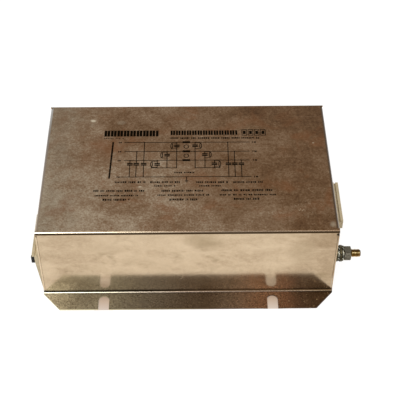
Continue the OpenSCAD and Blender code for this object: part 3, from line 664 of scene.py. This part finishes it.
def printPanel(bm):
    art = printArt
    x0, x1, y, h = art["panel"]
    lineH, lineW = art["panelFrame"]
    dotW, dotH = art["cellDot"]
    cell = (x1 - x0) / art["panelCells"]
    for i in range(art["panelCells"]):
        x = x0 + cell * (i + 0.5)
        for sign in (1, -1):
            dab(bm, x, y + sign * (h / 2 - 0.35), cell - 0.7, lineH)
            dab(bm, x + sign * (cell / 2 - 0.6), y, lineW, h - 1.2)
        dab(bm, x, y, cell - dotW, h - dotH)


def printMarks():
    art, bm = printArt, bmesh.new()
    for part in (printLines, printCapacitors, printChoke, printRows, printPanel):
        part(bm)
    bmesh.ops.rotate(bm, cent=(0, 0, 0), matrix=Matrix.Rotation(art["turn"], 3, "Z"), verts=bm.verts)
    bmesh.ops.translate(bm, vec=(*art["shift"], 0), verts=bm.verts)
    bmesh.ops.scale(bm, vec=(mm, mm, mm), verts=bm.verts)
    return bm


# dark brown ink, thinner and browner where the sheet has been rubbed
inkFinish = {"full": (12, 8, 4), "rubbed": (58, 42, 28)}


def inkLook():
    look = Look("printInk", Metallic=0.0, Roughness=0.55, Specular_IOR_Level=0.0)
    rub = look.step(look.noise(0.005, 4.0, 0.65, shift=(0.6, 2.1, 0.0)), 0.55, 0.88)
    look.feed(Base_Color=look.mix(rub, linear(*inkFinish["full"]), linear(*inkFinish["rubbed"])))
    return look.material


addPiece("circuitPrint", printMarks(), inkLook())
print("print laid on the top")


# the earth stud with its real thread, in mm; it has the solid's place and length
studMake = {"y": -58.5, "z": 32.6, "head": (99.2, 103.2), "headBevel": 0.35, "acrossFlats": 10.0,
            "end": 123.2, "tip": 1.0, "tipR": 2.1, "crest": 3.0, "root": 2.42, "pitch": 1.0, "steps": 28,
            # where the flanks of one turn begin and end, in shares of the pitch
            "flanks": (0.1, 0.42, 0.58, 0.9)}


def threadedStud():
    make, bm = studMake, bmesh.new()
    x0, pitch, steps = make["head"][1], make["pitch"], make["steps"]
    turns = int((make["end"] - x0) / pitch) + 3
    root, crest = make["root"], make["crest"]
    outline = [*zip((0.0, *make["flanks"], 1.0), (root, root, crest, crest, root, root))]
    points = [bm.verts.new((x0 - 1.5 * pitch + at * pitch, 0, r)) for at, r in outline]
    edges = [bm.edges.new(pair) for pair in zip(points, points[1:])]
    bmesh.ops.spin(bm, geom=points + edges, cent=(0, 0, 0), axis=(1, 0, 0), dvec=(pitch / steps, 0, 0),
                   angle=2 * math.pi * turns, steps=steps * turns, use_merge=False, use_duplicate=False)
    bmesh.ops.remove_doubles(bm, verts=bm.verts, dist=1e-4)
    for x, way in ((x0, -1), (make["end"], 1)):
        cut = bmesh.ops.bisect_plane(bm, geom=bm.verts[:] + bm.edges[:] + bm.faces[:], dist=1e-6,
                                     plane_co=(x, 0, 0), plane_no=(way, 0, 0), clear_outer=True)["geom_cut"]
        rim = [e for e in cut if isinstance(e, bmesh.types.BMEdge)]
        bmesh.ops.holes_fill(bm, edges=rim, sides=0)
    # turned-down tip
    for v in bm.verts:
        r = math.hypot(v.co.y, v.co.z)
        most = make["tipR"] + (make["end"] - v.co.x) * (crest - make["tipR"]) / make["tip"]
        if v.co.x > make["end"] - make["tip"] and r > most:
            v.co.y, v.co.z = v.co.y * most / r, v.co.z * most / r
    # hexagon head behind the wall
    a, b = make["head"]
    radius = make["acrossFlats"] / 2 / math.cos(math.pi / 6)
    place = Matrix.Translation(((a + b) / 2, 0, 0)) @ Matrix.Rotation(math.pi / 2, 4, "Y")
    head = bmesh.ops.create_cone(bm, cap_ends=True, segments=6, radius1=radius, radius2=radius, depth=b - a,
                                 matrix=place)
    rims = {e for v in head["verts"] for e in v.link_edges if abs(e.verts[0].co.x - e.verts[1].co.x) < 1e-6}
    bmesh.ops.bevel(bm, geom=list(rims), offset=make["headBevel"], affect="EDGES", segments=2, profile=0.5,
                    material=-1)
    bmesh.ops.translate(bm, vec=(0, make["y"], make["z"]), verts=bm.verts)
    bmesh.ops.scale(bm, vec=(mm, mm, mm), verts=bm.verts)
    bmesh.ops.recalc_face_normals(bm, faces=bm.faces)
    return bm


stud = addPiece("earthStudThreaded", threadedStud(), looks["stud_brass"])
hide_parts("earth_stud")
print("stud threaded")


# stage, light and camera

# the floor, with painted shadow where it shows through the mounting slots and a painted tint where
# the wall mirrors it there; the slots' ranges in x and y count outwards from the middle
floorShade = {"size": 6.0, "below": 0.0002, "plain": 0.8, "shadow": 0.3, "glow": 0.75,
              "slotX": (0.054, 0.068), "slotY": (0.0685, 0.0825), "soft": 0.0004, "shade": (100, 88, 82),
              "slotShadow": [(0.0, (150, 124, 98)), (0.45, (194, 172, 148)), (1.0, (216, 202, 188))],
              "slotReflectionTint": [(0.0, (192, 188, 188)), (0.6, (238, 240, 244)), (1.0, (255, 255, 255))]}


def grey(level):
    return (level, level, level, 1.0)


def floorLook():
    # white where it is seen or mirrored, with the object's shadow; plain pale where it lights the object
    shades = floorShade
    look = Look("paleFloor")
    plain = look.node("ShaderNodeBsdfDiffuse", {}, {"Color": grey(shades["plain"])})
    x, y = (abs(side) for side in look.xyz()[:2])
    nearY, farY = shades["slotY"]
    slots = look.band(x, *shades["slotX"], shades["soft"]) * look.band(y, nearY, farY, shades["soft"])
    depth = (y - nearY) / (farY - nearY)
    # painted shadow in the slots, deeper near the wall, and a painted tint for their mirror image in the
    # wall
    under, mirrored = (look.ramp(depth, shades[name]) for name in ("slotShadow", "slotReflectionTint"))
    tint = look.mix(slots, grey(1.0), look.mix(look.ray("Glossy"), under, mirrored))
    shade = look.mix(slots, grey(shades["shadow"]), linear(*shades["shade"]))
    soft = look.node("ShaderNodeBsdfDiffuse", {}, {"Color": shade})
    glow = look.node("ShaderNodeEmission", {}, {"Color": tint, "Strength": shades["glow"]})
    both = look.node("ShaderNodeAddShader", {}, {0: soft, 1: glow})
    look.surface(look.node("ShaderNodeMixShader", {}, {0: look.seenRays(), 1: plain, 2: both}))
    return look.material


floorMesh = bpy.data.meshes.new("floor")
bm = bmesh.new()
bmesh.ops.create_grid(bm, x_segments=1, y_segments=1, size=floorShade["size"])
bm.to_mesh(floorMesh)
bm.free()
floorMesh.materials.append(floorLook())
floor = bpy.data.objects.new("floor", floorMesh)
floor.location = (0, 0, -floorShade["below"])
bpy.context.scene.collection.objects.link(floor)

world = bpy.context.scene.world or bpy.data.worlds.new("studio")
bpy.context.scene.world = world
# the background lights the object softly and is plain white where it is seen
background = {"lights": 0.7, "seen": 1.0}
studio = Look("studio", world)
dim, white = (studio.node("ShaderNodeBackground", {}, {"Color": grey(1.0), "Strength": background[use]})
              for use in ("lights", "seen"))
studio.surface(studio.node("ShaderNodeMixShader", {}, {0: studio.seenRays(), 1: dim, 2: white}))

lamps = {
    "key": {"at": (-0.5, -0.7, 1.1), "size": 0.8, "watts": 10},
    "fill": {"at": (0.8, -0.3, 0.9), "size": 1.0, "watts": 5},
    "glint": {"at": (0.33, -0.72, 0.95), "size": 0.3, "watts": 1.5},
}
for name, lamp in lamps.items():
    data = bpy.data.lights.new(name, "AREA")
    data.size, data.energy = lamp["size"], lamp["watts"]
    lampObject = bpy.data.objects.new(name, data)
    lampObject.location = lamp["at"]
    lampObject.rotation_mode = "QUATERNION"
    lampObject.rotation_quaternion = (-Vector(lamp["at"])).to_track_quat("-Z", "Y")
    bpy.context.scene.collection.objects.link(lampObject)

# the camera stands where the photograph's did: yaw, tilt down and roll in radians
shot = {"at": (0.00229, -0.54783, 0.59642), "yaw": 0.01292, "down": 0.804, "roll": 0.00149,
        "lens": 94.02, "sensor": 36, "clip": (0.01, 50)}
yaw, down, roll = shot["yaw"], shot["down"], shot["roll"]
ahead = Vector((math.sin(yaw) * math.cos(down), math.cos(yaw) * math.cos(down), -math.sin(down)))
level = Vector((math.cos(yaw), -math.sin(yaw), 0))
upward = level.cross(ahead)
right = math.cos(roll) * level + math.sin(roll) * upward
top = -math.sin(roll) * level + math.cos(roll) * upward
cameraData = bpy.data.cameras.new("camera")
cameraData.lens, cameraData.sensor_width = shot["lens"], shot["sensor"]
cameraData.clip_start, cameraData.clip_end = shot["clip"]
camera = bpy.data.objects.new("camera", cameraData)
turn = Matrix((right, top, -ahead)).transposed().to_4x4()
camera.matrix_world = Matrix.Translation(shot["at"]) @ turn
bpy.context.scene.collection.objects.link(camera)
bpy.context.scene.camera = camera
bpy.context.scene.view_settings.view_transform = "Standard"
print("camera and light set")
